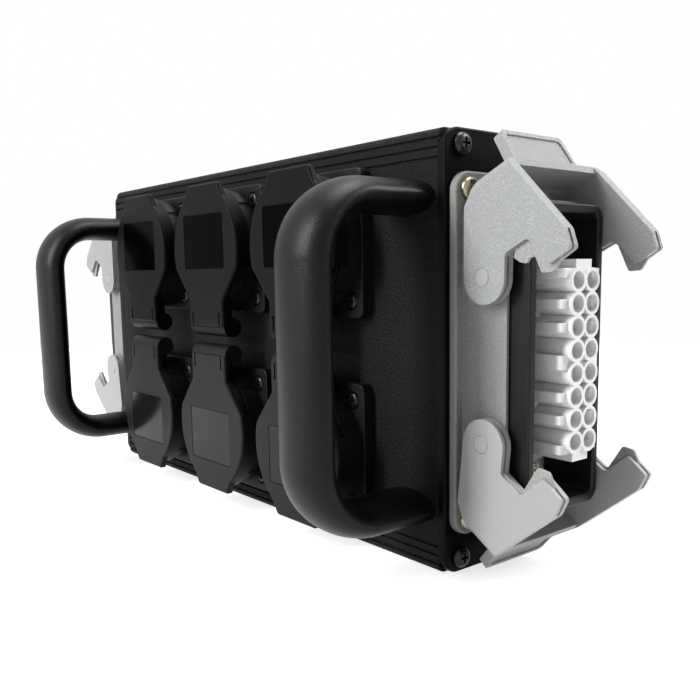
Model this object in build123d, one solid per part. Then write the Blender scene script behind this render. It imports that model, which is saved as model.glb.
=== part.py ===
from build123d import *
import math
import os

os.makedirs("parts", exist_ok=True)

# The box stands on its long narrow side. Its length runs along X, its front looks along -Y,
# and the origin is the centre of the face that it rests on. All sizes are in millimetres.

# Box shell: one extruded profile closed by two end plates
box_length = 244.0
box_depth = 46.0
box_height = 140.0
wall = 2.5
profile_corner = 3.0
groove_count = 3
groove_width = 1.0
groove_depth = 0.8
groove_inset = 3.3
groove_pitch = 2.9
plate_thickness = 3.0
plate_corner = 6.0
plate_edge_round = 0.6
plate_cutout_width = 33.0
plate_cutout_height = 80.0
plate_cutout_corner = 2.0
plate_screw_side_inset = 7.0
plate_screw_end_inset = 5.0
plate_screw_head = 3.5
plate_screw_head_height = 2.2
plate_screw_shank = 1.6
plate_screw_length = 14.0
screw_channel_wall = 2.0

# Handles: oval bar bent to a D
handle_inset = 16.3
handle_span = 99.5
handle_reach = 41.4
handle_width = 24.0
handle_thickness = 11.1
handle_bend = 20.0
handle_screw_shank = 2.5
handle_screw_head = 4.6
handle_screw_head_height = 3.0
handle_screw_bite = 14.0

# Domestic sockets in two rows, hinges towards the middle of the panel
socket_columns = 3
socket_pitch = 60.5
panel_margin = 8.8
socket_shift = 2.0
flange_size = 50.0
flange_corner = 3.0
flange_thickness = 3.4
flange_edge_round = 0.5
socket_seal = 0.8
socket_screw_spacing = 38.0
socket_screw_shank = 1.5
socket_screw_length = 9.0
socket_screw_head = 2.9
socket_screw_head_height = 1.5
socket_screw_recess = 3.4
socket_screw_sink = 1.0
collar_radius = 24.2
collar_rim = 11.4
barrel_radius = 21.7
barrel_depth = 22.0
well_radius = 19.6
well_depth = 17.4
well_floor = 2.0
pin_spacing = 19.0
pin_hole_radius = 2.8
contact_outer = 3.0
contact_bore = 2.45
contact_wire_end = 3.0
earth_strap_width = 4.0
earth_strap_thickness = 1.0
earth_strap_standoff = 1.4
key_width = 4.6
key_depth = 1.6
key_setback = 2.0
strap_setback = 2.0
gasket_margin = 0.5

# Lids
lid_radius = 25.7
lid_front = 16.5
lid_plate = 2.4
lid_skirt = 4.0
lid_lip = 0.3
lid_tab_foot = 20.0
lid_tab_half = 12.0
lid_tab_foot_half = 15.5
lid_tab_end = 26.3
lid_tab_corner = 2.0
lid_taper_start = 7.5
lid_taper_end = 19.8
lid_neck_half = 13.6
hinge_drop = 30.7
hinge_back = 4.5
knuckle_radius = 3.9
knuckle_length = 4.4
lug_radius = 2.7
pin_radius = 1.25
knuckle_end_wall = 1.0
spring_wire = 0.8
spring_turns = 5
spring_pitch = 0.84
spring_gap = 0.1
label_width = 32.0
label_height = 22.0
label_shift = 3.5
label_corner = 1.5
label_depth = 0.4
lid_edge_round = 1.0
slot_width = 0.8
slot_depth = 0.5
slot_inset = 2.9
slot_start = 25.4
slot_dot = 0.7
lid_seal_outer = 23.4
lid_seal_inner = 20.2

# Panel connector housings at both ends
gasket_thickness = 0.6
housing_flange_width = 43.0
housing_flange_height = 113.5
housing_flange_top = 3.2
housing_flange_corner = 6.0
housing_flange_round = 0.8
housing_screw_width = 32.0
housing_screw_height = 103.0
housing_screw_head = 3.6
housing_screw_head_height = 2.4
housing_screw_shank = 2.0
housing_screw_length = 12.0
housing_screw_pocket = 4.3
collar_width = 37.4
collar_height = 95.0
collar_corner = 5.0
collar_top = 20.9
ledge_top = 6.0
ledge_width = 29.0
ledge_height = 72.0
ledge_corner = 2.0
rim_width = 34.6
rim_height = 92.4
rim_corner = 4.5
rim_wall = 2.8
rim_top = 28.3
rim_edge_round = 0.7

# Contact inserts
pole_rows = 8
pole_pitch = 6.8
pole_column_pitch = 6.65
tower_top = 34.5
sleeve_overlap = 0.15
sleeve_bore = 2.6
sleeve_depth = 20.0
insert_plate = 3.0
insert_back = 16.0
rib_thickness = 1.7
rib_reach = 0.9
rib_setback = 1.4
web_setback = 6.0
rib_rows = (-4.0, -2.5, -1.5, 0.0, 1.5, 2.5, 4.0)
low_rib_rows = (-2.0, 2.0)
low_rib_thickness = 1.6
low_rib_drop = 12.0
key_block_sink = 1.0
key_block_reach = 2.6
key_block_side = 0.4
key_block_drop = 0.8
pole_contact = 1.7
pole_contact_bore = 1.2
pole_contact_bore_depth = 9.0
pole_pin = 1.25
pole_pin_setback = 6.0
pole_pin_round = 0.75
tray_side = 3.0
tray_end = 4.0
tray_rise = 3.0
pin_boss_wall = 1.2
pin_boss_rise = 4.5
insert_screw_width = 21.0
insert_screw_height = 79.0
insert_screw_shank = 1.3
insert_screw_head = 2.4
insert_screw_head_height = 1.6
insert_screw_length = 8.0
terminal_offset = 35.0
terminal_width = 9.0
terminal_depth = 5.0
terminal_rise = 8.0
terminal_screw = 1.6
terminal_screw_sink = 1.0
terminal_screw_floor = 2.0
terminal_slot = 0.5
terminal_slot_depth = 0.8
terminal_corner = 0.5

# Locking levers, drawn about their pivot: first value outwards, second value away from the middle
pivot_out = 14.7
pivot_offset = 24.7
arm_clearance = 0.3
arm_inner_skin = 1.6
hook_plate = 1.0
arm_outer_skin = 1.2
boss_radius = 7.8
boss_shift = 0.7
back_height = 20.5
shoulder = (-2.7, 28.6)
crown = (8.1, 33.5)
tip_upper = (28.9, 13.0)
tip_lower = (30.7, 7.8)
hook_foot = (23.7, 3.4)
notch = (16.6, 10.9)
neck = (8.6, 6.9)
corner_rounds = ((shoulder, 3.0), (crown, 0.8), (tip_upper, 3.0), (tip_lower, 1.2),
                 (hook_foot, 1.6), (notch, 2.0), (neck, 1.6))
slot_back = -5.5
slot_top = 13.0
plate_boss = 6.0
plate_neck = (7.4, 5.8)
plate_notch = (16.2, 10.2)
plate_claw = (18.4, 5.8)
plate_tip = (20.6, 1.3)
plate_toe = (24.6, 1.6)
plate_heel = (26.8, 5.0)
plate_corner_round = 1.2
catch_points = ((16.2, 10.2), (13.4, 9.2), (11.6, 7.9), (10.8, 5.6), (13.2, 4.3), (15.3, 3.9),
                (16.4, 5.4), (18.4, 5.8), (20.0, 8.0))
catch_round = 0.6
web_thickness = 2.2
web_low = 24.8
web_gap_half = 13.0
web_gap_top = 25.8
web_gap_corner = 2.0
web_edge_round = 3.2
tab_lean = 34.0
tab_foot = (6.4, 32.0)
tab_length = 13.2
tab_half_foot = 15.0
tab_half_end = 14.2
tab_thickness = 3.4
tab_corner = 1.5
tab_recess_margin = 1.5
tab_recess_depth = 0.5
peg_head = 2.7
peg_shank = 1.6
upper_lever_open = 0.0
lower_lever_open = 6.5

# Wiring
trunk_radius = 5.5
trunk_back = 12.5
trunk_bend = 16.0
trunk_bend_run = 14.0
branch_radius = 2.5
branch_side = 5.5
branch_drop = 12.0
branch_bend = 9.0

# Cross-head screws, as shares of the head's radius or height
screw_dome = 0.8
screw_cross_length = 1.0
screw_cross_width = 0.22
screw_cross_depth = 0.6

# Clearances
running = 0.05
seat_clearance = 0.3
screw_clearance = 0.3

# Derived places
mid_height = box_height / 2
front = -box_depth / 2
profile_length = box_length - 2 * plate_thickness
channel_y = box_depth / 2 - plate_screw_side_inset
channel_z = mid_height - plate_screw_end_inset
handle_x = box_length / 2 - handle_inset
ends = (-1, 1)
socket_row_offset = mid_height - panel_margin - flange_size / 2


def slab_x(sketch, x0, x1):
    """Extrude a sketch of the YZ plane from x0 to x1."""
    return extrude(Plane.YZ.offset(x0) * sketch, amount=x1 - x0)


def slab_y(sketch, y0, y1):
    """Extrude a sketch of the XZ plane from y0 to y1."""
    return extrude(Plane.XZ.offset(-y1) * sketch, amount=y1 - y0)


def face(*points):
    """A flat face from its corners, always turned the same way up."""
    area = sum(a[0] * b[1] - b[0] * a[1] for a, b in zip(points, points[1:] + points[:1]))
    return Polygon(*(points if area > 0 else points[::-1]), align=None)


def corners_near(outline, *points):
    return [outline.vertices().sort_by_distance((p[0], p[1], 0))[0] for p in points]


def rod_x(radius, x0, x1, y=0.0, z=0.0):
    return Pos((x0 + x1) / 2, y, z) * Rot(0, 90, 0) * Cylinder(radius, x1 - x0)


def rod_y(radius, y0, y1, x=0.0, z=0.0):
    return Pos(x, (y0 + y1) / 2, z) * Rot(90, 0, 0) * Cylinder(radius, y1 - y0)


def block(x0, x1, y0, y1, z0, z1):
    return Pos((x0 + x1) / 2, (y0 + y1) / 2, (z0 + z1) / 2) * Box(x1 - x0, y1 - y0, z1 - z0)


def pan_screw(head, head_height, shank, length):
    """Cross-head pan screw along +Z, with the underside of its head at the origin."""
    cap = Pos(0, 0, head_height / 2) * Cylinder(head, head_height)
    cap = fillet(cap.edges().sort_by(Axis.Z)[-1], head_height * screw_dome)
    slot_depth = head_height * screw_cross_depth
    for turn in (0, 90):
        slot = Rot(0, 0, turn) * Box(head * screw_cross_length, head * screw_cross_width, slot_depth)
        cap -= Pos(0, 0, head_height - slot_depth / 2) * slot
    return cap + Pos(0, 0, -length / 2) * Cylinder(shank, length)


def save(shapes, name):
    """Write one node, from one solid or a list of separate ones."""
    parts = shapes if isinstance(shapes, list) else [shapes]
    solids = [solid for shape in parts for solid in shape.solids()]
    export_step(solids[0] if len(solids) == 1 else Compound(solids), f"parts/{name}.step")


def socket_places():
    """Number, X, Z and row of each socket: row 1 above the middle, row -1 below it."""
    places = []
    for row in (1, -1):
        for column in range(socket_columns):
            x = socket_shift + (column - (socket_columns - 1) / 2) * socket_pitch
            places.append((len(places) + 1, x, mid_height + row * socket_row_offset, row))
    return places


def place_socket(shape, place):
    """Put a socket piece, drawn hinge down at the origin, on the panel."""
    number, x, z, row = place
    return Pos(x, front, z) * Rot(0, 0 if row > 0 else 180, 0) * shape


def square_corners(spacing_x, spacing_y):
    return [(i * spacing_x / 2, j * spacing_y / 2) for i in ends for j in ends]


# Shell

def profile_section():
    outer = RectangleRounded(box_depth, box_height, profile_corner)
    hollow = RectangleRounded(box_depth - 2 * wall, box_height - 2 * wall, profile_corner - wall / 2)
    section = outer - hollow
    for y, z in square_corners(2 * channel_y, 2 * channel_z):
        section += Pos(y, z) * Circle(plate_screw_shank + screw_channel_wall)
    for y, z in square_corners(2 * channel_y, 2 * channel_z):
        section -= Pos(y, z) * Circle(plate_screw_shank)
    for side in ends:
        for end in ends:
            for k in range(groove_count):
                z = end * (mid_height - groove_inset - k * groove_pitch)
                y = side * box_depth / 2
                section -= Pos(y, z) * Rectangle(2 * groove_depth, groove_width)
    return section


def housing_profile():
    shell = slab_x(profile_section(), -profile_length / 2, profile_length / 2)
    shell = Pos(0, 0, mid_height) * shell
    through = (front - wall, front + 2 * wall)
    for number, x, z, row in socket_places():
        shell -= rod_y(barrel_radius + seat_clearance, *through, x, z)
        for dx, dz in square_corners(socket_screw_spacing, socket_screw_spacing):
            shell -= rod_y(socket_screw_shank, *through, x + dx, z + dz)
    for x, dz in square_corners(2 * handle_x, handle_span):
        shell -= rod_y(handle_screw_shank + screw_clearance, *through, x, mid_height + dz)
    return shell


def plate_cutout():
    return RectangleRounded(plate_cutout_width, plate_cutout_height, plate_cutout_corner)


def end_plate(side):
    plate = slab_x(RectangleRounded(box_depth, box_height, plate_corner), 0, plate_thickness)
    plate = fillet(plate.faces().sort_by(Axis.X)[-1].edges(), plate_edge_round)
    plate -= slab_x(plate_cutout(), 0, plate_thickness)
    for y, z in square_corners(2 * channel_y, 2 * channel_z):
        plate -= rod_x(plate_screw_shank + screw_clearance, 0, plate_thickness, y, z)
    for y, z in square_corners(housing_screw_width, housing_screw_height):
        plate -= rod_x(housing_screw_shank, 0, plate_thickness, y, z)
    plate = Pos(box_length / 2 - plate_thickness, 0, mid_height) * plate
    return plate if side > 0 else Rot(0, 0, 180) * plate


def end_plate_screws():
    screw = pan_screw(plate_screw_head, plate_screw_head_height, plate_screw_shank, plate_screw_length)
    right = [Pos(box_length / 2, y, mid_height + z) * Rot(0, 90, 0) * screw
             for y, z in square_corners(2 * channel_y, 2 * channel_z)]
    return right + [Rot(0, 0, 180) * one for one in right]


# Handles

def handle(side):
    half = handle_span / 2
    tip = front - handle_reach
    path = FilletPolyline((0, front, half), (0, tip, half), (0, tip, -half), (0, front, -half),
                          radius=handle_bend)
    section = Plane(origin=(0, front, half), x_dir=(1, 0, 0), z_dir=(0, -1, 0))
    bar = sweep(section * Ellipse(handle_width / 2, handle_thickness / 2), path=path)
    for dz in (half, -half):
        bar -= rod_y(handle_screw_shank, front - handle_screw_bite, front, 0, dz)
    return Pos(side * handle_x, 0, mid_height) * bar


def handle_screws():
    screw = Pos(0, 0, handle_screw_head_height / 2) * Cylinder(handle_screw_head, handle_screw_head_height)
    length = handle_screw_bite + wall - seat_clearance
    screw += Pos(0, 0, -length / 2) * Cylinder(handle_screw_shank, length)
    return [Pos(x, front + wall, mid_height + dz) * Rot(-90, 0, 0) * screw
            for x, dz in square_corners(2 * handle_x, handle_span)]


# Sockets, drawn at the origin with the panel face at Y = 0, the front at -Y and the hinge at -Z

flange_front = -(socket_seal + flange_thickness)
well_floor_y = -collar_rim + well_depth
hinge_y = -(lid_front - hinge_back)
lid_inner = -lid_front + lid_plate
strap_z = well_radius - earth_strap_standoff
lug_half = lid_neck_half - knuckle_length - seat_clearance
pin_half = lid_neck_half - knuckle_end_wall
spring_half = spring_turns * spring_wire / 2 + seat_clearance


def hinge_lug():
    """Two knuckles that stand off the collar and hold the pin, with the spring between them."""
    arm_front = hinge_y + seat_clearance
    arm = block(-lug_half, lug_half, arm_front, hinge_y + lug_radius, -hinge_drop, -well_radius)
    lug = arm + rod_x(lug_radius, -lug_half, lug_half, hinge_y, -hinge_drop)
    gap = spring_half + seat_clearance
    reach = lug_radius + seat_clearance
    lug -= block(-gap, gap, hinge_y - reach, hinge_y + reach, -hinge_drop - reach, -hinge_drop + reach)
    return lug


def socket_body():
    flange = slab_y(RectangleRounded(flange_size, flange_size, flange_corner), flange_front, -socket_seal)
    flange = fillet(flange.faces().sort_by(Axis.Y)[0].edges(), flange_edge_round)
    body = flange + rod_y(collar_radius, -collar_rim, flange_front)
    body += rod_y(barrel_radius, -socket_seal, barrel_depth)
    body += hinge_lug()
    body -= rod_y(well_radius, -collar_rim, well_floor_y)
    for side in ends:
        x0, x1 = sorted((side * well_radius, side * (well_radius - key_depth)))
        body += block(x0, x1, -collar_rim + key_setback, well_floor_y, -key_width / 2, key_width / 2)
        x = side * pin_spacing / 2
        body -= rod_y(pin_hole_radius, well_floor_y, well_floor_y + well_floor, x)
        body -= rod_y(contact_outer, well_floor_y + well_floor, barrel_depth, x)
    half = earth_strap_width / 2 + seat_clearance / 2
    top = strap_z + earth_strap_thickness / 2 + seat_clearance / 2
    low = top - earth_strap_thickness - seat_clearance
    for side in ends:
        z0, z1 = sorted((side * low, side * top))
        body -= block(-half, half, well_floor_y, well_floor_y + well_floor, z0, z1)
    body -= block(-half, half, well_floor_y + well_floor, barrel_depth, -top, top)
    body -= rod_x(pin_radius, -lug_half, lug_half, hinge_y, -hinge_drop)
    for x, z in square_corners(socket_screw_spacing, socket_screw_spacing):
        body -= rod_y(socket_screw_shank + running, flange_front, -socket_seal, x, z)
        body -= rod_y(socket_screw_recess, flange_front - collar_rim, flange_front + socket_screw_sink, x, z)
    return body


def socket_contacts():
    """Two brass sleeves with their wire ends, and the earth strap with its two side clips."""
    pieces = []
    start = well_floor_y + well_floor
    for side in ends:
        x = side * pin_spacing / 2
        sleeve = rod_y(contact_outer - running, start, barrel_depth + contact_wire_end, x)
        pieces.append(sleeve - rod_y(contact_bore, start, barrel_depth, x))
    half = earth_strap_width / 2
    outer = strap_z + earth_strap_thickness / 2
    strap = block(-half, half, start, start + earth_strap_thickness, -outer, outer)
    for side in ends:
        z0, z1 = sorted((side * outer, side * (outer - earth_strap_thickness)))
        strap += block(-half, half, -collar_rim + strap_setback, start, z0, z1)
    pieces.append(strap)
    return pieces


def lid_outline():
    """Round lid with a lifting tab at the top, tapering to the neck that carries the hinge."""
    shoulder_half = math.sqrt(lid_radius**2 - lid_taper_start**2)
    below_taper = Pos(0, -lid_taper_start - lid_radius) * Rectangle(2 * lid_radius, 2 * lid_radius)
    disc = Circle(lid_radius) - below_taper
    taper = face((-shoulder_half, -lid_taper_start), (-lid_neck_half, -lid_taper_end),
                 (lid_neck_half, -lid_taper_end), (shoulder_half, -lid_taper_start))
    neck = Pos(0, -(hinge_drop + lid_taper_start) / 2)
    neck *= Rectangle(2 * lid_neck_half, hinge_drop - lid_taper_start)
    tab = face((-lid_tab_foot_half, lid_tab_foot), (lid_tab_foot_half, lid_tab_foot),
               (lid_tab_half, lid_tab_end), (-lid_tab_half, lid_tab_end))
    tab = fillet(tab.vertices().sort_by(Axis.Y)[-2:], lid_tab_corner)
    return disc + taper + neck + tab


def lid_barrel():
    """Knuckles at both ends of the neck and the quarter cover in front of the lug."""
    low = -hinge_drop - knuckle_radius
    barrel = rod_x(knuckle_radius, -lid_neck_half, lid_neck_half, hinge_y, -hinge_drop)
    gap = lug_half + seat_clearance
    barrel -= block(-gap, gap, hinge_y, 0, low, -hinge_drop + knuckle_radius)
    return barrel - block(-gap, gap, hinge_y - knuckle_radius, 0, -hinge_drop, -hinge_drop + knuckle_radius)


def socket_lid():
    lid = slab_y(lid_outline(), -lid_front, lid_inner)
    lid = fillet(lid.faces().sort_by(Axis.Y)[0].edges(), lid_edge_round)
    skirt = rod_y(lid_radius - lid_lip, lid_inner, lid_inner + lid_skirt)
    skirt -= rod_y(collar_radius + seat_clearance, lid_inner, lid_inner + lid_skirt)
    skirt -= block(-lid_radius, lid_radius, lid_inner, lid_inner + lid_skirt, -lid_radius, -lid_taper_start)
    lid = lid + skirt + lid_barrel()
    gap = lug_half + seat_clearance
    lid -= rod_x(lug_radius + seat_clearance, -gap, gap, hinge_y, -hinge_drop)
    lid -= rod_x(pin_radius + running, -pin_half, pin_half, hinge_y, -hinge_drop)
    label = Pos(0, label_shift) * RectangleRounded(label_width, label_height, label_corner)
    lid -= slab_y(label, -lid_front, -lid_front + label_depth)
    for side in ends:
        x = side * (lid_neck_half - slot_inset)
        lid -= rod_y(slot_dot, -lid_front, -lid_front + slot_depth, x, -slot_start)
        lid -= block(x - slot_width / 2, x + slot_width / 2, -lid_front, -lid_front + slot_depth,
                     -hinge_drop, -slot_start)
    return lid


def lid_seal():
    ring = rod_y(lid_seal_outer, lid_inner, -collar_rim - seat_clearance)
    return ring - rod_y(lid_seal_inner, lid_inner, -collar_rim - seat_clearance)


def hinge_pin():
    return rod_x(pin_radius, -pin_half + running, pin_half - running, hinge_y, -hinge_drop)


def lid_spring():
    """Close-wound torsion spring about the pin."""
    radius = pin_radius + spring_gap + spring_wire / 2
    length = (spring_turns - 1) * spring_pitch
    coil_path = Helix(pitch=spring_pitch, height=length, radius=radius,
                      center=(-length / 2, 0, 0), direction=(1, 0, 0))
    wire = Plane(origin=coil_path @ 0, z_dir=coil_path % 0) * Circle(spring_wire / 2)
    coil = sweep(wire, path=coil_path)
    return Pos(0, hinge_y, -hinge_drop) * coil


def socket_gasket():
    side = flange_size - 2 * gasket_margin
    ring = RectangleRounded(side, side, flange_corner)
    gasket = slab_y(ring, -socket_seal, 0) - rod_y(barrel_radius + seat_clearance, -socket_seal, 0)
    for x, z in square_corners(socket_screw_spacing, socket_screw_spacing):
        gasket -= rod_y(socket_screw_shank + running, -socket_seal, 0, x, z)
    return gasket


def socket_screw_set():
    screw = pan_screw(socket_screw_head, socket_screw_head_height, socket_screw_shank, socket_screw_length)
    return [Pos(x, flange_front + socket_screw_sink, z) * Rot(90, 0, 0) * screw
            for x, z in square_corners(socket_screw_spacing, socket_screw_spacing)]


# Connectors, drawn at the origin with the plate's face at X = 0 and outwards along +X

rim_inner_width = rim_width - 2 * rim_wall
rim_inner_height = rim_height - 2 * rim_wall
collar_inner_width = rim_width + 2 * seat_clearance
collar_inner_height = rim_height + 2 * seat_clearance
insert_face = ledge_top + insert_plate
tower_half = pole_rows * pole_pitch / 2
arm_inside = collar_width / 2 + arm_clearance
slot_inside = arm_inside + arm_inner_skin
slot_outside = slot_inside + hook_plate
arm_outside = slot_outside + arm_outer_skin


def at_end(shape, side):
    """Put a connector piece on the right end (side 1) or, turned round, on the left end."""
    return Pos(side * box_length / 2, 0, mid_height) * Rot(0, 0, 0 if side > 0 else 180) * shape


def pole_places():
    rows = [(k - (pole_rows - 1) / 2) * pole_pitch for k in range(pole_rows)]
    return [(column * pole_column_pitch / 2, z) for column in ends for z in rows]


def connector_housing():
    flange = slab_x(RectangleRounded(housing_flange_width, housing_flange_height, housing_flange_corner),
                    gasket_thickness, housing_flange_top)
    flange = fillet(flange.faces().sort_by(Axis.X)[-1].edges(), housing_flange_round)
    collar = RectangleRounded(collar_width, collar_height, collar_corner)
    housing = flange + slab_x(collar, gasket_thickness, collar_top)
    hollow = RectangleRounded(collar_inner_width, collar_inner_height, rim_corner + seat_clearance)
    housing -= slab_x(hollow, ledge_top, collar_top)
    housing -= slab_x(RectangleRounded(ledge_width, ledge_height, ledge_corner), 0, ledge_top)
    for y, z in square_corners(housing_screw_width, housing_screw_height):
        housing -= rod_x(housing_screw_shank + screw_clearance, 0, housing_flange_top, y, z)
        housing -= rod_x(housing_screw_pocket, housing_flange_top, collar_top, y, z)
    for y, z in square_corners(insert_screw_width, insert_screw_height):
        housing -= rod_x(insert_screw_shank, 0, ledge_top, y, z)
    for z in (-pivot_offset, pivot_offset):
        housing -= rod_y(peg_shank, -collar_width / 2, collar_width / 2, pivot_out, z)
    return housing


def rim_seal():
    outer = RectangleRounded(rim_width, rim_height, rim_corner)
    inner = RectangleRounded(rim_inner_width, rim_inner_height, rim_corner - rim_wall)
    seal = slab_x(outer - inner, ledge_top, rim_top)
    return fillet(seal.faces().sort_by(Axis.X)[-1].edges(), rim_edge_round)


def insert_base():
    """The moulding behind the contacts: mounting plate on the ledge and block through the flange."""
    fit = 2 * seat_clearance
    corner = rim_corner - rim_wall - seat_clearance
    plate = RectangleRounded(rim_inner_width - fit, rim_inner_height - fit, corner)
    base = slab_x(plate, ledge_top, insert_face)
    rear = RectangleRounded(ledge_width - fit, ledge_height - fit, ledge_corner - seat_clearance)
    base += slab_x(rear, -insert_back, ledge_top)
    for y, z in square_corners(insert_screw_width, insert_screw_height):
        base -= rod_x(insert_screw_shank + screw_clearance, ledge_top, insert_face, y, z)
    return base


def sleeve_tower():
    """Sixteen joined sleeves with their side ribs and the keying blocks at both ends."""
    outer = pole_pitch / 2 + sleeve_overlap
    half_width = pole_column_pitch / 2 + outer
    foot = insert_face - insert_plate / 2
    tower = block(foot, tower_top - web_setback, -pole_column_pitch / 2, pole_column_pitch / 2,
                  -tower_half + outer / 2, tower_half - outer / 2)
    for y, z in pole_places():
        tower += rod_x(outer, foot, tower_top, y, z)
    rib_half = half_width + rib_reach
    rib_end = tower_top - rib_setback
    for row in rib_rows:
        last = abs(row) == pole_rows / 2
        thick = rib_thickness * (2 if row == 0 else 1)
        z = row * pole_pitch - (math.copysign(rib_thickness / 2, row) if last else 0)
        half = half_width - rib_reach if last else rib_half
        tower += block(foot, rib_end, -half, half, z - thick / 2, z + thick / 2)
    for row in low_rib_rows:
        z = row * pole_pitch
        tower += block(foot, rib_end - low_rib_drop, -rib_half, rib_half,
                       z - low_rib_thickness / 2, z + low_rib_thickness / 2)
    key_half = pole_column_pitch / 2 + key_block_side
    for end in ends:
        z0, z1 = sorted((end * (tower_half - key_block_sink), end * (tower_half + key_block_reach)))
        tower += block(foot, tower_top - key_block_drop, -key_half, key_half, z0, z1)
    for y, z in pole_places():
        tower -= rod_x(sleeve_bore, tower_top - sleeve_depth, tower_top, y, z)
    return tower


def outlet_insert():
    insert = insert_base() + sleeve_tower()
    for y, z in pole_places():
        insert -= rod_x(pole_contact, -insert_back, tower_top - sleeve_depth, y, z)
    return insert


def outlet_contacts():
    """Tube contacts, each set back inside its sleeve."""
    top = tower_top - sleeve_depth / 2
    tubes = []
    for y, z in pole_places():
        tube = rod_x(pole_contact, -insert_back, top, y, z)
        tubes.append(tube - rod_x(pole_contact_bore, top - pole_contact_bore_depth, top, y, z))
    return tubes


def inlet_insert():
    """The pin side: a low block, with a boss round the foot of each pin."""
    half_y = pole_column_pitch / 2 + pole_pitch / 2 + tray_side
    half_z = tower_half + tray_end
    foot = insert_face - insert_plate / 2
    insert = insert_base()
    insert += slab_x(RectangleRounded(2 * half_y, 2 * half_z, ledge_corner), foot, insert_face + tray_rise)
    for y, z in pole_places():
        insert += rod_x(pole_pin + pin_boss_wall, foot, insert_face + pin_boss_rise, y, z)
    for y, z in pole_places():
        insert -= rod_x(pole_pin, -insert_back, insert_face + pin_boss_rise, y, z)
    return insert


def inlet_contacts():
    """Round pins that stop short of the rim."""
    top = rim_top - pole_pin_setback
    pins = []
    for y, z in pole_places():
        pin = rod_x(pole_pin, -insert_back, top, y, z)
        pins.append(fillet(pin.edges().sort_by(Axis.X)[-1], pole_pin_round))
    return pins


def earth_terminals():
    """Clamp block and screw at each end of the insert."""
    top = insert_face + terminal_rise
    floor = insert_face + terminal_screw_floor
    slot_x = top - terminal_screw_sink
    half = terminal_width / 2
    pieces = []
    for end in ends:
        z = end * terminal_offset
        clamp = block(insert_face, top, -half, half, z - terminal_depth / 2, z + terminal_depth / 2)
        clamp = fillet(clamp.edges().filter_by(Axis.X), terminal_corner)
        clamp -= rod_x(terminal_screw, floor, top, 0, z)
        screw = rod_x(terminal_screw, floor, slot_x, 0, z)
        screw -= block(slot_x - terminal_slot_depth, slot_x, -terminal_screw, terminal_screw,
                       z - terminal_slot / 2, z + terminal_slot / 2)
        pieces += [clamp, screw]
    return pieces


def connector_gasket():
    ring = RectangleRounded(housing_flange_width, housing_flange_height, housing_flange_corner)
    gasket = slab_x(ring, 0, gasket_thickness)
    gasket -= slab_x(plate_cutout(), 0, gasket_thickness)
    for y, z in square_corners(housing_screw_width, housing_screw_height):
        gasket -= rod_x(housing_screw_shank + screw_clearance, 0, gasket_thickness, y, z)
    return gasket


def connector_screw_set():
    screw = pan_screw(housing_screw_head, housing_screw_head_height,
                      housing_screw_shank, housing_screw_length)
    return [Pos(housing_flange_top, y, z) * Rot(0, 90, 0) * screw
            for y, z in square_corners(housing_screw_width, housing_screw_height)]


def insert_screw_set():
    screw = pan_screw(insert_screw_head, insert_screw_head_height, insert_screw_shank, insert_screw_length)
    return [Pos(insert_face, y, z) * Rot(0, 90, 0) * screw
            for y, z in square_corners(insert_screw_width, insert_screw_height)]


# Levers

def arm_outline():
    outline = face((boss_shift - boss_radius, 0), (boss_shift - boss_radius, back_height), shoulder, crown,
                   tip_upper, tip_lower, hook_foot, notch, neck, (boss_shift + boss_radius, 0))
    for corner, radius in corner_rounds:
        outline = fillet(corners_near(outline, corner), radius)
    return outline + Pos(boss_shift, 0) * Circle(boss_radius)


def lever_web():
    """The bridge between the two arms, along their back edge, with a gap that clears the collar."""
    crown_slope = math.atan2(crown[1] - shoulder[1], crown[0] - shoulder[0])
    back_slope = math.atan2(shoulder[1] - back_height, shoulder[0] - boss_shift + boss_radius)
    low = (shoulder[0] - (shoulder[1] - web_low) / math.tan(back_slope), web_low)
    mitre = web_thickness / math.cos((back_slope - crown_slope) / 2)
    outer = (crown, shoulder, low)
    inner = []
    for point, slope, depth in ((low, back_slope, web_thickness),
                                (shoulder, (crown_slope + back_slope) / 2, mitre),
                                (crown, crown_slope, web_thickness)):
        inner.append((point[0] + math.sin(slope) * depth, point[1] - math.cos(slope) * depth))
    band = face(*outer, *inner)
    band = fillet(corners_near(band, shoulder), dict(corner_rounds)[shoulder])
    gap = Pos(0, web_gap_top / 2) * RectangleRounded(2 * web_gap_half, web_gap_top, web_gap_corner)
    return slab_y(band, -arm_outside, arm_outside) - slab_x(gap, -boss_radius, boss_radius)


def web_envelope():
    """Everything under the outer face of the web, with its two long edges rounded."""
    slope = math.atan2(crown[1] - shoulder[1], crown[0] - shoulder[0])
    reach = 2 * tip_lower[0]
    along = (math.cos(slope), 0, math.sin(slope))
    plane = Plane(origin=(crown[0], 0, crown[1]), x_dir=(0, 1, 0), z_dir=along)
    section = plane * Pos(0, -reach / 2) * RectangleRounded(2 * arm_outside, reach, web_edge_round)
    return extrude(section, amount=reach, both=True)


def tab_plane():
    lean = math.radians(tab_lean)
    normal = (math.cos(lean), 0, math.sin(lean))
    return Plane(origin=(tab_foot[0], 0, tab_foot[1]), x_dir=(0, 1, 0), z_dir=normal)


def tab_outline(margin):
    foot = tab_half_foot - margin
    end = tab_half_end - margin
    top = tab_length - margin
    outline = face((-foot, 2 * margin), (foot, 2 * margin), (end, top), (-end, top))
    return fillet(outline.vertices().sort_by(Axis.Y)[-2:], tab_corner)


def slot_layer(side):
    """The layer of an arm, between its two skins, that holds the hook plate."""
    return sorted((side * slot_inside, side * slot_outside))


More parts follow.
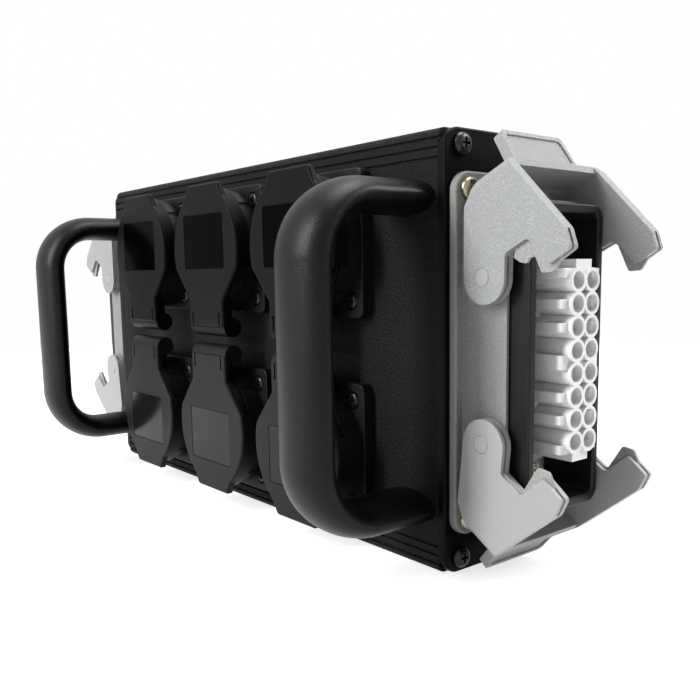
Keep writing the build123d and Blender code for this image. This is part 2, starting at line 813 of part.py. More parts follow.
def lever():
    """U-shaped lever about its pivot: two slotted arms, the web between them and the thumb tab."""
    shell = lever_web()
    for side in ends:
        y0, y1 = sorted((side * arm_inside, side * arm_outside))
        shell += slab_y(arm_outline(), y0, y1)
    shell &= web_envelope()
    shell += extrude(tab_plane() * tab_outline(0), amount=-tab_thickness)
    shell -= extrude(tab_plane() * tab_outline(tab_recess_margin), amount=-tab_recess_depth)
    for side in ends:
        y0, y1 = slot_layer(side)
        shell -= block(slot_back, 2 * tip_lower[0], y0, y1, -2 * boss_radius, slot_top)
    return shell - rod_y(peg_head + running, -arm_outside, arm_outside)


def hook_outline():
    """Plate round the peg, with the hook that reaches past the foot of the arm."""
    outline = face((slot_back, 0), (slot_back, slot_top), (tip_upper[0] - plate_corner_round, slot_top),
                   plate_heel, plate_toe, plate_tip, plate_claw, plate_notch, plate_neck)
    rounded = corners_near(outline, plate_heel, plate_toe, plate_tip, plate_notch)
    outline = fillet(rounded, plate_corner_round)
    return outline + Pos(boss_shift, 0) * Circle(plate_boss)


def catch_outline():
    """Small catch in the mouth of the notch, on the front arm of an upper lever."""
    outline = face(*catch_points)
    return fillet(corners_near(outline, *catch_points[1:6]), catch_round)


def lever_hook_plates(end):
    """The steel plate in the slot of each arm, with the hook that takes the load."""
    plates = []
    for side in ends:
        y0, y1 = slot_layer(side)
        outline = hook_outline()
        if side < 0 < end:
            outline += catch_outline()
        plates.append(slab_y(outline, y0, y1) - rod_y(peg_head + running, y0, y1))
    return plates


def place_lever(shape, end):
    """Hang a lever piece on the upper (1) or lower (-1) pegs of a connector."""
    if end > 0:
        return Pos(pivot_out, 0, pivot_offset) * Rot(0, -upper_lever_open, 0) * shape
    return Pos(pivot_out, 0, -pivot_offset) * Rot(180, 0, 0) * Rot(0, -lower_lever_open, 0) * shape


def lever_pegs():
    """Stepped pegs: a shank in the housing wall and a head that the arm turns on."""
    pegs = []
    for side in ends:
        for end in ends:
            wall_in, wall_out = collar_inner_width / 2, collar_width / 2
            s0, s1 = sorted((side * wall_in, side * wall_out))
            h0, h1 = sorted((side * wall_out, side * arm_outside))
            z = end * pivot_offset
            pegs.append(rod_y(peg_shank, s0, s1, pivot_out, z) + rod_y(peg_head, h0, h1, pivot_out, z))
    return pegs


# Wiring

def wiring_trunk():
    back = box_length / 2 + -insert_back
    run = [(back, 0), (back - trunk_bend_run, 0), (back - 2 * trunk_bend_run, trunk_back)]
    points = [(x, y, mid_height) for x, y in run] + [(-x, y, mid_height) for x, y in reversed(run)]
    path = FilletPolyline(*points, radius=trunk_bend)
    section = Plane(origin=points[0], z_dir=(-1, 0, 0)) * Circle(trunk_radius)
    return sweep(section, path=path)


def wiring_branches(trunk):
    branches = []
    for number, x, z, row in socket_places():
        top = z - row * branch_drop
        side_x = x + branch_side
        points = [(side_x, trunk_back, mid_height), (side_x, trunk_back, top),
                  (side_x, front + barrel_depth, top)]
        path = FilletPolyline(*points, radius=branch_bend)
        section = Plane(origin=points[0], z_dir=(0, 0, row)) * Circle(branch_radius)
        branches.append(sweep(section, path=path) - trunk)
    return branches


def write_all():
    save(housing_profile(), "housing_profile")
    save(end_plate_screws(), "end_plate_screws")
    save(handle_screws(), "handle_screws")
    for side, word in ((-1, "left"), (1, "right")):
        save(end_plate(side), f"end_plate_{word}")
        save(handle(side), f"handle_{word}")

    body, contacts, lid, seal = socket_body(), socket_contacts(), socket_lid(), lid_seal()
    for place in socket_places():
        number = place[0]
        save(place_socket(body, place), f"socket_body_{number}")
        save([place_socket(piece, place) for piece in contacts], f"socket_contacts_{number}")
        save(place_socket(lid, place), f"socket_lid_{number}")
        save(place_socket(seal, place), f"lid_seal_{number}")
    shared = (("hinge_pins", [hinge_pin()]), ("lid_springs", [lid_spring()]),
              ("socket_gaskets", [socket_gasket()]), ("socket_screws", socket_screw_set()))
    for name, pieces in shared:
        save([place_socket(piece, place) for place in socket_places() for piece in pieces], name)

    housing, rim, terminals = connector_housing(), rim_seal(), earth_terminals()
    shell = lever()
    plates = {end: lever_hook_plates(end) for end in ends}
    inserts = {-1: (inlet_insert(), inlet_contacts()), 1: (outlet_insert(), outlet_contacts())}
    for side, word in ((-1, "inlet"), (1, "outlet")):
        save(at_end(housing, side), f"{word}_housing")
        save(at_end(rim, side), f"{word}_rim_seal")
        save(at_end(inserts[side][0], side), f"{word}_insert")
        save([at_end(piece, side) for piece in inserts[side][1]], f"{word}_contacts")
        save([at_end(piece, side) for piece in terminals], f"{word}_earth_terminals")
        for end, level in ((1, "upper"), (-1, "lower")):
            save(at_end(place_lever(shell, end), side), f"{word}_lever_{level}")
            hooks = [at_end(place_lever(plate, end), side) for plate in plates[end]]
            save(hooks, f"{word}_hook_plates_{level}")
    shared = (("connector_gaskets", [connector_gasket()]), ("connector_screws", connector_screw_set()),
              ("insert_screws", insert_screw_set()), ("lever_pegs", lever_pegs()))
    for name, pieces in shared:
        save([at_end(piece, side) for side in ends for piece in pieces], name)

    trunk = wiring_trunk()
    save(trunk, "wiring_trunk")
    save(wiring_branches(trunk), "wiring_branches")


write_all()
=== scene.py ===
# %% [markdown]
# # A portable power box, dressed for its picture
# The real object is a small black box that carries power on a stage: six covered sockets on its
# front, a bent handle at each side of them, and a grey locking connector on each end.
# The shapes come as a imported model, in metres, and this lesson gives them their finishes, their
# rounded edges, a few small pieces that only matter to the eye, and a studio to stand in.

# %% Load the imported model
import math

import bmesh
import bpy
from mathutils import Euler, Matrix, Vector


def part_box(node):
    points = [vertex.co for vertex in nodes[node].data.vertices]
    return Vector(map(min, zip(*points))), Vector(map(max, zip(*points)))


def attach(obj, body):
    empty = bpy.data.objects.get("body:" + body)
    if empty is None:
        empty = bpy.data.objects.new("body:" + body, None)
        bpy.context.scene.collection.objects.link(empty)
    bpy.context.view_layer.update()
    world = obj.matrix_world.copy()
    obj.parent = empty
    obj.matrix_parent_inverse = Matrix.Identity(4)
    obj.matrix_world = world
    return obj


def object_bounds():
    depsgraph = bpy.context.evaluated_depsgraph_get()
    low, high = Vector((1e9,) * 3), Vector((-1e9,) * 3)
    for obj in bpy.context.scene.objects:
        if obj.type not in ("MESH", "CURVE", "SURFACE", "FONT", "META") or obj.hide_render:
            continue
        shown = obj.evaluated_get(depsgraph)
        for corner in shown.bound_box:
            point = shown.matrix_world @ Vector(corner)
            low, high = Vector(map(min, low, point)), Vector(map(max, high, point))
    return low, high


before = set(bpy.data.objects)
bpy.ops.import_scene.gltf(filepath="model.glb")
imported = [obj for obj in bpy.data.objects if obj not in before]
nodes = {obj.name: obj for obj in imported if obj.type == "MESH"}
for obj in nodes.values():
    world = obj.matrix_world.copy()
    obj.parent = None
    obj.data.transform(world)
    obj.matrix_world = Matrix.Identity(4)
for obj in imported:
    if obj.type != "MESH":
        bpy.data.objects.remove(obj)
model_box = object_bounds()
millimetre = 0.001
print(len(nodes), "nodes, and the box measures",
      [round((high - low) / millimetre, 1) for low, high in zip(*model_box)], "mm")

# %% [markdown]
# ## The camera
# The photographer stood close to the right end, a little above the middle of the box, so the near
# handle looks large and the far end small. Such a strong perspective can't be set by eye. The
# place and the turn of this camera were worked out from corners whose real places are known, and
# a picture is only matched by the same place, not by a longer lens from further away.

# %% Set up the camera
camera_place = Vector((0.2965, -0.1997, 0.0969))
camera_turn = math.radians(50.26)
camera_rise = math.radians(7.64)
camera_roll = math.radians(-0.73)
picture_side = 700
focal_in_pixels = 805.9
picture_centre = (366.3, 379.9)
sensor_side = 36.0

camera_data = bpy.data.cameras.new("camera")
camera_data.sensor_width = sensor_side
camera_data.lens = focal_in_pixels / picture_side * sensor_side
camera_data.shift_x = (picture_side / 2 - picture_centre[0]) / picture_side
camera_data.shift_y = (picture_centre[1] - picture_side / 2) / picture_side
camera_data.clip_start = 0.01
camera_data.clip_end = 20.0

camera = bpy.data.objects.new("camera", camera_data)
bpy.context.scene.collection.objects.link(camera)
camera.location = camera_place
looking = Euler((math.pi / 2 - camera_rise, 0.0, camera_turn)).to_matrix()
camera.rotation_euler = (looking @ Matrix.Rotation(camera_roll, 3, "Z")).to_euler()
bpy.context.scene.camera = camera
bpy.context.scene.view_settings.view_transform = "Standard"
print("lens", round(camera_data.lens, 2), "mm, shift",
      round(camera_data.shift_x, 4), round(camera_data.shift_y, 4))

# %% [markdown]
# ## The studio
# The box stands on a white table before a white wall. A table that is lit like the object never
# quite reaches white in a picture, so a small glow is added to what the camera sees of it. The glow
# lies over the lit surface, so the soft shadow under the box stays. The sky gives even light, and
# three soft boxes shape it: a tall one at the front left, which draws the broad gleam down the
# handles, a tall one behind at the right, which draws a second, thin gleam along their bends, and
# a wide one above.

# %% A helper for the nodes of a material
def add_node(tree, kind, values=None, **settings):
    """Add one node to a node tree and set its sockets and its settings."""
    node = tree.nodes.new(kind)
    for name, value in settings.items():
        setattr(node, name, value)
    for name, value in (values or {}).items():
        node.inputs[name].default_value = value
    return node


def join(tree, start, start_socket, end, end_socket):
    """Draw a link from one node's output to another node's input."""
    tree.links.new(start.outputs[start_socket], end.inputs[end_socket])


# %% The white table
table_grey = 0.6
table_glow = 0.74
table_half = 0.8


def table_finish():
    """A pale diffuse table with a glow that only the camera, mirrors and glass see."""
    finish = bpy.data.materials.new("table_white")
    finish.use_nodes = True
    tree = finish.node_tree
    tree.nodes.clear()
    paint = add_node(tree, "ShaderNodeBsdfDiffuse", {"Color": (table_grey,) * 3 + (1.0,)})
    glow = add_node(tree, "ShaderNodeEmission", {"Strength": table_glow})
    path = add_node(tree, "ShaderNodeLightPath")
    direct = add_node(tree, "ShaderNodeMath", operation="MAXIMUM")
    seen = add_node(tree, "ShaderNodeMath", operation="MAXIMUM")
    nothing = add_node(tree, "ShaderNodeBsdfTransparent", {"Color": (0.0, 0.0, 0.0, 1.0)})
    switch = add_node(tree, "ShaderNodeMixShader")
    total = add_node(tree, "ShaderNodeAddShader")
    output = add_node(tree, "ShaderNodeOutputMaterial")
    join(tree, path, "Is Camera Ray", direct, 0)
    join(tree, path, "Is Glossy Ray", direct, 1)
    join(tree, direct, 0, seen, 0)
    join(tree, path, "Is Transmission Ray", seen, 1)
    join(tree, seen, 0, switch, 0)
    join(tree, nothing, 0, switch, 1)
    join(tree, glow, 0, switch, 2)
    join(tree, paint, 0, total, 0)
    join(tree, switch, 0, total, 1)
    join(tree, total, 0, output, "Surface")
    return finish


corners = [(i * table_half, j * table_half, 0.0) for i, j in ((-1, -1), (1, -1), (1, 1), (-1, 1))]
table_mesh = bpy.data.meshes.new("table")
table_mesh.from_pydata(corners, [], [(0, 1, 2, 3)])
table = bpy.data.objects.new("table", table_mesh)
bpy.context.scene.collection.objects.link(table)
table.data.materials.append(table_finish())
print("table", 2 * table_half, "m wide")

# %% The sky
sky_light = 0.26
backdrop_white = 1.0
world = bpy.data.worlds.new("studio")
world.use_nodes = True
bpy.context.scene.world = world
sky = world.node_tree
sky.nodes.clear()
path = add_node(sky, "ShaderNodeLightPath")
direct = add_node(sky, "ShaderNodeMath", operation="MAXIMUM")
seen = add_node(sky, "ShaderNodeMath", operation="MAXIMUM")
even = add_node(sky, "ShaderNodeBackground", {"Strength": sky_light})
white = add_node(sky, "ShaderNodeBackground", {"Strength": backdrop_white})
for shade in (even, white):
    shade.inputs["Color"].default_value = (1.0, 1.0, 1.0, 1.0)
choice = add_node(sky, "ShaderNodeMixShader")
sky_output = add_node(sky, "ShaderNodeOutputWorld")
join(sky, path, "Is Camera Ray", direct, 0)
join(sky, path, "Is Glossy Ray", direct, 1)
join(sky, direct, 0, seen, 0)
join(sky, path, "Is Transmission Ray", seen, 1)
join(sky, seen, 0, choice, 0)
join(sky, even, 0, choice, 1)
join(sky, white, 0, choice, 2)
join(sky, choice, 0, sky_output, "Surface")
print("sky: light", sky_light, "on the object, backdrop", backdrop_white)

# %% The soft boxes
box_middle = (model_box[0] + model_box[1]) / 2


def soft_box(name, place, width, height, watts):
    """A rectangular lamp that faces the middle of the power box."""
    lamp_data = bpy.data.lights.new(name, "AREA")
    lamp_data.shape = "RECTANGLE"
    lamp_data.size = width
    lamp_data.size_y = height
    lamp_data.energy = watts
    lamp = bpy.data.objects.new(name, lamp_data)
    bpy.context.scene.collection.objects.link(lamp)
    lamp.location = place
    lamp.rotation_euler = (box_middle - Vector(place)).to_track_quat("-Z", "Y").to_euler()
    return lamp


soft_boxes = [
    soft_box("front_left_light", place=(-0.33, -1.08, 0.65), width=0.25, height=0.9, watts=20.0),
    soft_box("back_right_light", place=(0.7, 0.75, 0.85), width=0.3, height=0.6, watts=13.0),
    soft_box("top_light", place=(0.0, 0.15, 1.3), width=0.9, height=0.7, watts=16.0),
]
print(len(soft_boxes), "soft boxes, together", sum(box.data.energy for box in soft_boxes), "W")

# %% [markdown]
# ## Rounded edges
# No real edge is a perfect line: paint, casting and moulding leave a small radius, and that radius
# is what draws the thin bright lines in a picture. A fillet on every edge of the solid model would
# be slow and fragile. Here a chain of modifiers does it: the corners of the triangles are welded,
# flat triangles become whole faces, and each sharp edge is then bevelled. The shape stays within
# the model's own surfaces.

# %% A helper that rounds the edges of a piece
weld_distance = 0.002 * millimetre
flat_limit = math.radians(1.0)
sharp_limit = math.radians(30.0)
edge_steps = 2


def round_edges(piece, radius, keep_triangles=False):
    """Weld, flatten and bevel a piece, and smooth its shading."""
    weld = piece.modifiers.new("weld", "WELD")
    weld.merge_threshold = weld_distance
    if not keep_triangles:
        flatten = piece.modifiers.new("flatten", "DECIMATE")
        flatten.decimate_type = "DISSOLVE"
        flatten.angle_limit = flat_limit
    bevel = piece.modifiers.new("bevel", "BEVEL")
    bevel.width = radius
    bevel.segments = edge_steps
    bevel.limit_method = "ANGLE"
    bevel.angle_limit = sharp_limit
    bevel.miter_outer = "MITER_ARC"
    shade = piece.modifiers.new("even shading", "WEIGHTED_NORMAL")
    shade.keep_sharp = True


# %% [markdown]
# ## Finishes: a helper for all of them
# Every finish starts from one shader with its plain values on the shader's own sockets. What varies
# over a surface is added with noise that is measured in real millimetres on the object, so that the
# grain of a powder coat keeps its size on a large plate and on a small screw.

# %% Helpers for the finishes
def screen(red, green, blue):
    """A colour as a screen shows it, 0 to 255, turned into the light that a shader works with."""
    def light(value):
        share = value / 255
        return share / 12.92 if share <= 0.04045 else ((share + 0.055) / 1.055) ** 2.4
    return (light(red), light(green), light(blue), 1.0)


def new_finish(name, colour, roughness, metallic=0.0, specular=0.5):
    """A material with its plain values set; returns it with its tree and its shader."""
    finish = bpy.data.materials.new(name)
    finish.use_nodes = True
    tree = finish.node_tree
    shader = tree.nodes["Principled BSDF"]
    shader.inputs["Base Color"].default_value = colour
    shader.inputs["Roughness"].default_value = roughness
    shader.inputs["Metallic"].default_value = metallic
    shader.inputs["Specular IOR Level"].default_value = specular
    return finish, tree, shader


def object_noise(tree, grain, detail=2.0, rough=0.5):
    """Noise whose blobs are about the size grain, in metres, fixed to the object."""
    place = add_node(tree, "ShaderNodeTexCoord")
    noise = add_node(tree, "ShaderNodeTexNoise", {"Scale": 1.0 / grain, "Detail": detail,
                                                  "Roughness": rough})
    join(tree, place, "Object", noise, "Vector")
    return noise


def add_relief(tree, shader, noise, depth):
    """Turn noise into small hills of that depth, in metres."""
    relief = add_node(tree, "ShaderNodeBump", {"Distance": depth, "Strength": 1.0})
    join(tree, noise, "Fac", relief, "Height")
    join(tree, relief, "Normal", shader, "Normal")


def vary_colour(tree, shader, noise, dark, light, spread):
    """Mix the base colour between two shades, over the given spread of the noise's values."""
    span = add_node(tree, "ShaderNodeMapRange", {"From Min": spread[0], "From Max": spread[1]})
    mix = add_node(tree, "ShaderNodeMix", data_type="RGBA")
    mix.inputs["A"].default_value = dark
    mix.inputs["B"].default_value = light
    join(tree, noise, "Fac", span, "Value")
    join(tree, span, "Result", mix, "Factor")
    tree.links.new(mix.outputs["Result"], shader.inputs["Base Color"])


usual_noise = (0.3, 0.7)


def vary_roughness(tree, shader, noise, low, high):
    """Spread the roughness between two values by a noise."""
    span = add_node(tree, "ShaderNodeMapRange", {"From Min": usual_noise[0],
                                                 "From Max": usual_noise[1],
                                                 "To Min": low, "To Max": high})
    join(tree, noise, "Fac", span, "Value")
    join(tree, span, "Result", shader, "Roughness")


# %% [markdown]
# ## Black powder coats
# The shell, the two end plates and the handles are all black, and still look different. The shell
# has a rough powder coat that swallows light, the plates a smoother satin one, and the handles a
# fine grain whose gleam breaks into tiny sparks. Colour alone can't show that. The difference is in
# the roughness and in a relief of one or two tenths of a millimetre at most.

# %% Shell, end plates and handles
speck_spread = (0.48, 0.66)


def coat(name, shades, roughness, specular, grain, depth):
    """A powder coat: two shades, a spread of roughness and a fine relief."""
    finish, tree, shader = new_finish(name, shades[0], roughness[0], specular=specular)
    fine = object_noise(tree, grain, detail=3.0)
    vary_colour(tree, shader, fine, *shades, spread=speck_spread)
    vary_roughness(tree, shader, fine, *roughness)
    add_relief(tree, shader, fine, depth)
    return finish


shell_coat = coat("shell_powder_coat", shades=(screen(5, 5, 5), screen(42, 42, 42)),
                  roughness=(0.52, 0.72), specular=0.08,
                  grain=0.5 * millimetre, depth=0.16 * millimetre)
plate_coat = coat("plate_satin_coat", shades=(screen(9, 8, 12), screen(12, 11, 15)),
                  roughness=(0.30, 0.38), specular=0.05,
                  grain=0.6 * millimetre, depth=0.006 * millimetre)
handle_coat = coat("handle_grain_coat", shades=(screen(1, 1, 1), screen(12, 12, 12)),
                   roughness=(0.32, 0.44), specular=0.15,
                   grain=0.45 * millimetre, depth=0.07 * millimetre)
print("black coats:", shell_coat.name, plate_coat.name, handle_coat.name)

# %% [markdown]
# ## Moulded plastics
# Socket bodies and upper lids are black. The lower lids are the same plastic, with a lighter shade
# painted on as painted light, the shine of the white table they face. The lids' label fields are
# polished: that is why they mirror the handle. The connector's insert is almost white.
# Moulded plastic has a very fine even grain and nearly no change of colour, so the helper for the
# powder coats does for it too, with a relief of a hundredth of a millimetre.

# %% Sockets, lids and insert
socket_plastic = coat("socket_black_plastic", shades=(screen(10, 10, 10), screen(15, 15, 15)),
                      roughness=(0.42, 0.52), specular=0.15,
                      grain=0.35 * millimetre, depth=0.01 * millimetre)
lid_plastic = coat("lid_charcoal_plastic", shades=(screen(8, 8, 9), screen(13, 13, 14)),
                   roughness=(0.34, 0.44), specular=0.05,
                   grain=0.35 * millimetre, depth=0.012 * millimetre)
# Painted light: the lower lids get paler shades and more shine than the upper ones, for the white
# table they face; the plastic is the same.
lower_lid_painted_lighter = coat("lid_charcoal_painted_lighter", shades=(screen(18, 18, 19), screen(24, 24, 25)),
                         roughness=(0.38, 0.48), specular=0.10,
                         grain=0.35 * millimetre, depth=0.012 * millimetre)
insert_plastic = coat("insert_pale_plastic", shades=(screen(226, 225, 224), screen(232, 231, 230)),
                      roughness=(0.38, 0.48), specular=0.4,
                      grain=0.5 * millimetre, depth=0.006 * millimetre)

# %% Polished label fields
label_roughness = 0.12
label_wave = 3.0 * millimetre
label_wave_depth = 0.01 * millimetre


def label_finish(name, colour, specular):
    """A polished plate with the faint waves that keep a mirror image from being perfect."""
    finish, tree, shader = new_finish(name, colour, label_roughness, specular=specular)
    add_relief(tree, shader, object_noise(tree, label_wave), label_wave_depth)
    return finish


# All label plates are the same polished plate. The upper ones are painted near black with almost no
# shine, as painted shade; the lower ones are paler and shinier, as a painted reflection of the lit
# table.
label_gloss = label_finish("label_polished_black", screen(2, 2, 2), specular=0.01)
lower_label_gloss_painted_lighter = label_finish("label_polished_painted_lighter", screen(20, 20, 20), specular=0.11)
print("label fields:", label_gloss.name, lower_label_gloss_painted_lighter.name)

# %% [markdown]
# ## Grey powder coat of the connector
# The housing is die cast and the locking levers are moulded, both light grey. Their coat is
# wrinkled, in hills half a millimetre wide. One noise gives both the relief and the shades, and
# the pale hilltops in a slightly darker ground are painted highlights: the glint that light draws
# on each hill, put into the colour. The upper and lower levers are the same grey: the upper ones
# are a lit copy, with deep relief and these painted glints, and the lower ones share the helper
# with hardly any relief and nearly one shade.

# %% Connector housings and levers
painted_glint_spread = (0.52, 0.74)
grey_specular = 0.45


def grey_coat(name, shades, roughness, grain, depth):
    """A wrinkled coat whose pale hilltops are painted highlights over an even ground."""
    finish, tree, shader = new_finish(name, shades[1], roughness, specular=grey_specular)
    hills = object_noise(tree, grain, rough=0.6)
    vary_colour(tree, shader, hills, *shades, spread=painted_glint_spread)
    add_relief(tree, shader, hills, depth)
    return finish


# The pale hilltops of the housing are painted glints over its real wrinkles.
die_cast_coat = grey_coat("die_cast_grey_coat", shades=(screen(127, 129, 126), screen(150, 152, 149)),
                          roughness=0.38, grain=0.5 * millimetre, depth=0.35 * millimetre)
# The upper levers: the lit copy of the lever grey, whose pale hilltops are painted glints.
lever_grain_and_painted_glints = grey_coat("lever_grey_with_painted_glints", shades=(screen(147, 149, 149), screen(170, 172, 172)),
                        roughness=0.30, grain=0.5 * millimetre, depth=0.4 * millimetre)
lever_smooth = grey_coat("lever_smooth_grey", shades=(screen(154, 155, 155), screen(158, 159, 159)),
                         roughness=0.45, grain=0.6 * millimetre, depth=0.01 * millimetre)
print("grey coats:", die_cast_coat.name, lever_grain_and_painted_glints.name, lever_smooth.name)

# %% [markdown]
# ## Metals and rubber
# The small parts are metal: yellowed zinc on the connector's screws, black zinc on the plates'
# screws, brass and silver plate on contacts. Bright metal is a metallic shader whose polish is
# uneven, which shows as a change of roughness only. Black zinc, the zinc on the levers' hook plates
# and rubber are so dull that they look more like a coat, so they are made with that helper.

# %% Metals
polish_grain = 0.8 * millimetre
smoothest = 0.7
roughest = 1.4


def metal(name, colour, roughness):
    """Bare or plated metal with an uneven polish, between two shares of its roughness."""
    finish, tree, shader = new_finish(name, colour, roughness, metallic=1.0)
    polish = object_noise(tree, polish_grain, detail=4.0)
    vary_roughness(tree, shader, polish, roughness * smoothest, roughness * roughest)
    return finish


zinc = metal("yellowed_zinc", screen(142, 134, 116), roughness=0.28)
brass = metal("contact_brass", screen(205, 176, 110), roughness=0.25)
silver = metal("silver_plate", screen(214, 212, 206), roughness=0.2)
spring_steel = metal("spring_steel", screen(168, 168, 168), roughness=0.25)
print("metals:", zinc.name, brass.name, silver.name, spring_steel.name)

# %% Dull plating, rubber and sheaths
black_zinc = coat("black_zinc", shades=(screen(8, 8, 9), screen(14, 14, 15)),
                  roughness=(0.24, 0.34), specular=0.3,
                  grain=0.5 * millimetre, depth=0.008 * millimetre)
hook_steel = coat("hook_zinc_plate", shades=(screen(138, 140, 137), screen(160, 161, 158)),
                  roughness=(0.30, 0.44), specular=0.5,
                  grain=0.7 * millimetre, depth=0.02 * millimetre)
rubber = coat("seal_rubber", shades=(screen(12, 12, 13), screen(16, 16, 17)),
              roughness=(0.36, 0.48), specular=0.20,
              grain=0.6 * millimetre, depth=0.008 * millimetre)
sheath = coat("wire_sheath", shades=(screen(30, 30, 30), screen(36, 36, 36)),
              roughness=(0.4, 0.5), specular=0.4,
              grain=0.8 * millimetre, depth=0.01 * millimetre)
print("dull finishes:", black_zinc.name, hook_steel.name, rubber.name, sheath.name)

# %% [markdown]
# ## Dressing the nodes
# The imported model names a material slot for each node, so the finishes are handed out by that name
# in one loop. A second, short list names the few nodes that get another finish than the others of
# their slot, such as the lower lids and upper levers, which carry painted light. The radius of the
# rounded edges goes with the finish too, because it comes from the way a part is made: a casting is
# rounder than a sawn profile.

# %% Hand out finishes and rounded edges
left_sharp = 0.0
fine_edge = 0.1 * millimetre
crisp_edge = 0.15 * millimetre
eased_edge = 0.2 * millimetre
pressed_edge = 0.25 * millimetre
moulded_edge = 0.3 * millimetre
cast_edge = 0.5 * millimetre
lever_edge = 0.6 * millimetre

dressing = {
    "shell_coat": (shell_coat, crisp_edge),
    "plate_coat": (plate_coat, eased_edge),
    "handle_coat": (handle_coat, fine_edge),
    "black_screw": (black_zinc, crisp_edge),
    "zinc_screw": (zinc, crisp_edge),
    "socket_plastic": (socket_plastic, moulded_edge),
    "lid_plastic": (lid_plastic, moulded_edge),
    "contact_brass": (brass, fine_edge),
    "plated_pin": (silver, fine_edge),
    "spring_steel": (spring_steel, left_sharp),
    "seal_rubber": (rubber, eased_edge),
    "die_cast_coat": (die_cast_coat, cast_edge),
    "lever_plastic": (lever_smooth, lever_edge),
    "insert_plastic": (insert_plastic, crisp_edge),
    "hook_steel": (hook_steel, pressed_edge),
    "wire_sheath": (sheath, left_sharp),
}

lower_row = (4, 5, 6)
# The lower lids: a lighter copy of the lid plastic, as painted light.
own_finish = {f"socket_lid_{number}": lower_lid_painted_lighter for number in lower_row}
# The upper levers get the lit copy of the lever grey, with painted glints.
own_finish |= {f"{end}_lever_upper": lever_grain_and_painted_glints for end in ("outlet", "inlet")}
own_finish |= {"socket_screws": black_zinc, "lever_pegs": lever_smooth}

for name, piece in nodes.items():
    slot_name = piece.material_slots[0].material.name
    finish, radius = dressing[slot_name]
    piece.material_slots[0].material = own_finish.get(name, finish)
    if radius > left_sharp:
        round_edges(piece, radius)
print("dressed", len(nodes), "nodes with", len(dressing), "finishes")

# %% [markdown]
# ## Label fields on the lids
# Each lid has a shallow field for a label near its lifting tab. On the real box a thin polished
# plate fills it, left bare here. A plate with four round corners could be a bevelled cube, but a
# loop that walks round the corner arcs gives clean faces, and it can be made at the lid's place.

# %% Make one bare label plate for each lid
label_width = 31.4 * millimetre
label_height = 21.4 * millimetre
label_corner = 1.3 * millimetre
label_thickness = 0.3 * millimetre
field_depth = 0.4 * millimetre
tab_to_label = 22.8 * millimetre
corner_steps = 6


def round_rectangle(width, height, corner):
    """Points round a rectangle with round corners, in its own plane, about its middle."""
    points = []
    for quarter, (side, level) in enumerate(((1, 1), (-1, 1), (-1, -1), (1, -1))):
        middle = (side * (width / 2 - corner), level * (height / 2 - corner))
        for step in range(corner_steps + 1):
            turn = math.radians(90) * (quarter + step / corner_steps)
            points.append((middle[0] + corner * math.cos(turn), middle[1] + corner * math.sin(turn)))
    return points


def label_plate(number):
    """A thin plate on the floor of a lid's label field, riding with the lid."""
    low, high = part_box(f"socket_lid_{number}")
    x = (low.x + high.x) / 2
    upper = number not in lower_row
    z = high.z - tab_to_label if upper else low.z + tab_to_label
    y = low.y + field_depth
    mesh = bmesh.new()
    ring = [mesh.verts.new((x + dx, y, z + dz))
            for dx, dz in round_rectangle(label_width, label_height, label_corner)]
    back = mesh.faces.new(ring)
    front = bmesh.ops.extrude_face_region(mesh, geom=[back])["geom"]
    moved = [item for item in front if isinstance(item, bmesh.types.BMVert)]
    bmesh.ops.translate(mesh, vec=(0.0, -label_thickness, 0.0), verts=moved)
    bmesh.ops.recalc_face_normals(mesh, faces=mesh.faces)
    data = bpy.data.meshes.new(f"lid_label_{number}")
    mesh.to_mesh(data)
    mesh.free()
    plate = bpy.data.objects.new(f"lid_label_{number}", data)
    bpy.context.scene.collection.objects.link(plate)
    plate.data.materials.append(label_gloss if upper else lower_label_gloss_painted_lighter)
    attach(plate, f"lid_{number}")
    return plate


lid_numbers = range(1, 7)
labels = [label_plate(number) for number in lid_numbers]
print(len(labels), "label plates")

# %% [markdown]
# ## Domed heads of the lever pegs
# The levers turn on pegs, and each peg ends in a low dome that stands proud of the arm. A flattened
# sphere would do, but most of it would be hidden in the arm. Two rings and a cap make just the part
# that shows: a wide ring on the arm and a narrower one a fifth of a millimetre further out.

# %% One dome on each peg
peg_radius = 2.7 * millimetre
dome_slope = 0.4 * millimetre
dome_height = 0.2 * millimetre
dome_steps = 32
dome_soft_edge = 0.1 * millimetre


def add_dome(mesh, x, face, z, side):
    """A low dome on the end of a peg, whose axis runs across the box."""
    rings = []
    for radius, y in ((peg_radius, face), (peg_radius - dome_slope, face + side * dome_height)):
        turns = [2 * math.pi * step / dome_steps for step in range(dome_steps)]
        rings.append([mesh.verts.new((x + radius * math.cos(turn), y, z + radius * math.sin(turn)))
                      for turn in turns])
    for step in range(dome_steps):
        after = (step + 1) % dome_steps
        mesh.faces.new((rings[0][step], rings[0][after], rings[1][after], rings[1][step]))
    for ring in rings:
        mesh.faces.new(ring)


def peg_domes():
    """The domes of all eight pegs, placed from the box round the pegs."""
    low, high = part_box("lever_pegs")
    mesh = bmesh.new()
    for x in (low.x + peg_radius, high.x - peg_radius):
        for z in (low.z + peg_radius, high.z - peg_radius):
            add_dome(mesh, x, low.y, z, -1)
            add_dome(mesh, x, high.y, z, 1)
    bmesh.ops.recalc_face_normals(mesh, faces=mesh.faces)
    data = bpy.data.meshes.new("lever_peg_domes")
    mesh.to_mesh(data)
    mesh.free()
    return data


domes = bpy.data.objects.new("lever_peg_domes", peg_domes())
bpy.context.scene.collection.objects.link(domes)
domes.data.materials.append(lever_smooth)
round_edges(domes, dome_soft_edge, keep_triangles=True)
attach(domes, "box")
print("a dome on each peg, in one piece")

# %% [markdown]
# ## Ribs on the connector's insert
# The moulded insert has ribs between its contact sleeves, which guide the mating connector. They
# stand out from both sides and catch the light in pale bars over dark hollows. Most run to the
# insert's front, and two short ones end halfway. One outline, drawn from above with a small lead-in
# at its outer corner, is pushed up to the thickness of a rib, and a loop repeats it at each height
# and on each side.

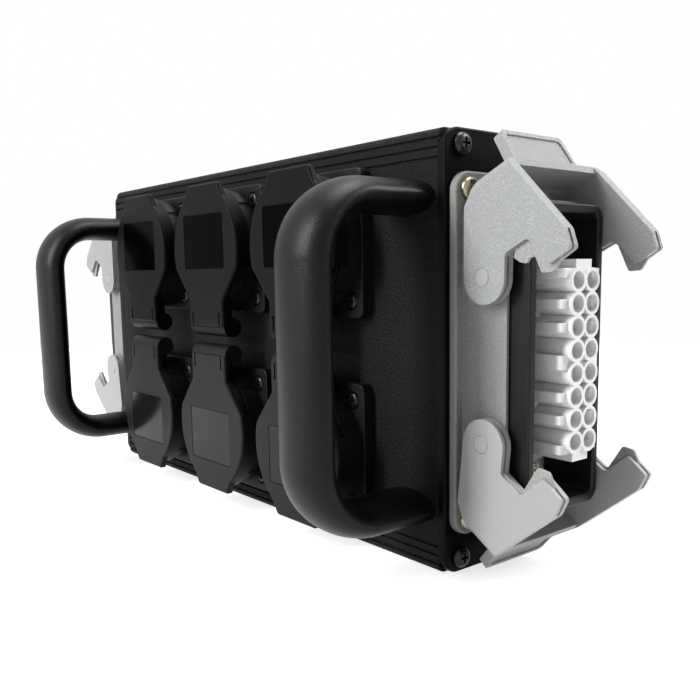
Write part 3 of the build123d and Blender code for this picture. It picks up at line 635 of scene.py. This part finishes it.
# %% Guide ribs
# The rows are heights above and below the insert's middle, counted in pole pitches.
pole_pitch = 6.8 * millimetre
middle_row = (0.0,)
long_rows = (-3.8, -2.5, -1.5, 1.5, 2.5, 3.8)
short_rows = (-2.0, 2.0)
middle_thickness = 4.2 * millimetre
long_thickness = 2.7 * millimetre
short_thickness = 1.7 * millimetre
rib_root = 5.0 * millimetre
rib_outside = 8.8 * millimetre
rib_start = 12.0 * millimetre
long_end = 33.2 * millimetre
short_end = 22.0 * millimetre
rib_lead = 0.5 * millimetre
rib_soft_edge = 0.15 * millimetre
rib_groups = ((middle_row, middle_thickness, long_end), (long_rows, long_thickness, long_end),
              (short_rows, short_thickness, short_end))


def add_rib(mesh, outline, low, high):
    """Push a flat outline up from one height to another."""
    ring = [mesh.verts.new((x, y, low)) for x, y in outline]
    bottom = mesh.faces.new(ring)
    top = bmesh.ops.extrude_face_region(mesh, geom=[bottom])["geom"]
    moved = [item for item in top if isinstance(item, bmesh.types.BMVert)]
    bmesh.ops.translate(mesh, vec=(0.0, 0.0, high - low), verts=moved)


def add_rib_pair(mesh, plate_face, level, thickness, end):
    """One rib on each side of the insert, at the same height."""
    outline = [(rib_start, rib_root), (end, rib_root), (end, rib_outside - rib_lead),
               (end - rib_lead, rib_outside), (rib_start, rib_outside)]
    for side in (-1, 1):
        placed = [(plate_face + x, side * y) for x, y in outline]
        add_rib(mesh, placed, level - thickness / 2, level + thickness / 2)


def guide_ribs():
    """The ribs on both sides of the outlet's insert, in one mesh."""
    low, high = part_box("end_plate_right")
    middle = (low.z + high.z) / 2
    mesh = bmesh.new()
    for rows, thickness, end in rib_groups:
        for row in rows:
            add_rib_pair(mesh, high.x, middle + row * pole_pitch, thickness, end)
    bmesh.ops.recalc_face_normals(mesh, faces=mesh.faces)
    data = bpy.data.meshes.new("insert_guide_ribs")
    mesh.to_mesh(data)
    mesh.free()
    return data


ribs = bpy.data.objects.new("insert_guide_ribs", guide_ribs())
bpy.context.scene.collection.objects.link(ribs)
ribs.data.materials.append(insert_plastic)
round_edges(ribs, rib_soft_edge, keep_triangles=True)
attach(ribs, "box")
print(2 * sum(len(rows) for rows, thickness, end in rib_groups), "guide ribs")
